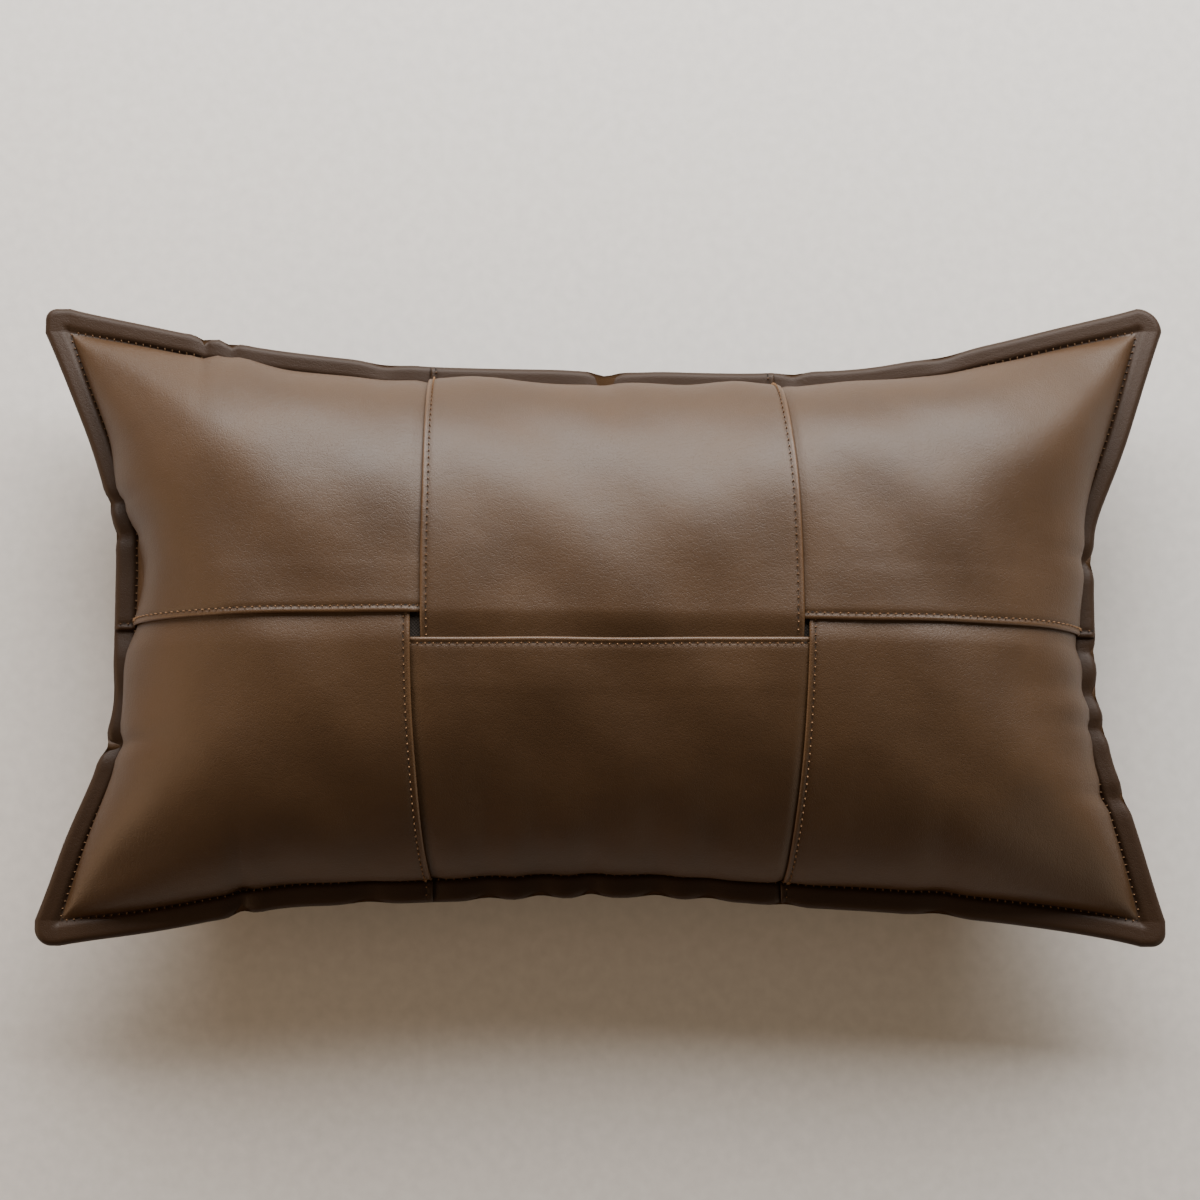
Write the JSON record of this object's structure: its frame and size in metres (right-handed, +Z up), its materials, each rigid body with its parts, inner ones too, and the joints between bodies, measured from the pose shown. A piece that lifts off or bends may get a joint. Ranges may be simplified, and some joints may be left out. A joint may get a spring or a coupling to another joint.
{
  "type": "throw pillow",
  "caption": "Rectangular lumbar throw pillow with a front of wide woven leather bands, a topstitched flange and a zipped leather back.",
  "frame": {"origin": "centre of the outline on the plane that the pillow rests on", "axes": "+X along the long axis, +Y along the short axis towards the upper weft band, +Z up, out of the woven front"},
  "size_m": [0.483, 0.272, 0.1196],
  "materials": {
    "leather": "smooth waxed brown leather with a fine grain and a soft sheen",
    "lining_cloth": "matt dark brown cotton lining",
    "thread": "bonded polyester thread, light brown, slight sheen",
    "zip_tape": "woven dark brown tape, matt",
    "zip_metal": "antique brass, satin",
    "casing_cotton": "off-white cotton, matt",
    "fibre_fill": "white polyester fibre, matt"
  },
  "bodies": {
    "cover": {"warp_band_left": "leather", "warp_band_center": "leather", "warp_band_right": "leather", "weft_band_upper": "leather", "weft_band_lower": "leather", "back_panel_upper": "leather", "back_panel_lower": "leather", "front_lining": "lining_cloth", "hem_thread_warp_left": "thread", "hem_thread_warp_center": "thread", "hem_thread_warp_right": "thread", "hem_thread_weft_upper": "thread", "hem_thread_weft_lower": "thread", "flange_needle_thread": "thread", "flange_bobbin_thread": "thread", "zip_thread_upper": "thread", "zip_thread_lower": "thread", "zipper_tape_upper": "zip_tape", "zipper_tape_lower": "zip_tape", "zipper_teeth_upper": "zip_metal", "zipper_teeth_lower": "zip_metal", "zipper_top_stops": "zip_metal", "zipper_bottom_stop": "zip_metal", "insert_casing_front": "casing_cotton", "insert_casing_back": "casing_cotton", "insert_filling": "fibre_fill"},
    "slider": {"zipper_slider": "zip_metal"},
    "pull_tab": {"zipper_pull_tab": "zip_metal"}
  },
  "joints": [
    {"name": "slider_travel", "type": "slide", "parent": "cover", "child": "slider", "axis": [-1, 0, 0], "range_m": [0, 0.257]},
    {"name": "pull_tab_swing", "type": "hinge", "parent": "slider", "child": "pull_tab", "pos_m": [0.1285, -0.05596, 0.00439], "axis": [0, -0.9435, 0.3313], "range_deg": [0, 170]}
  ]
}
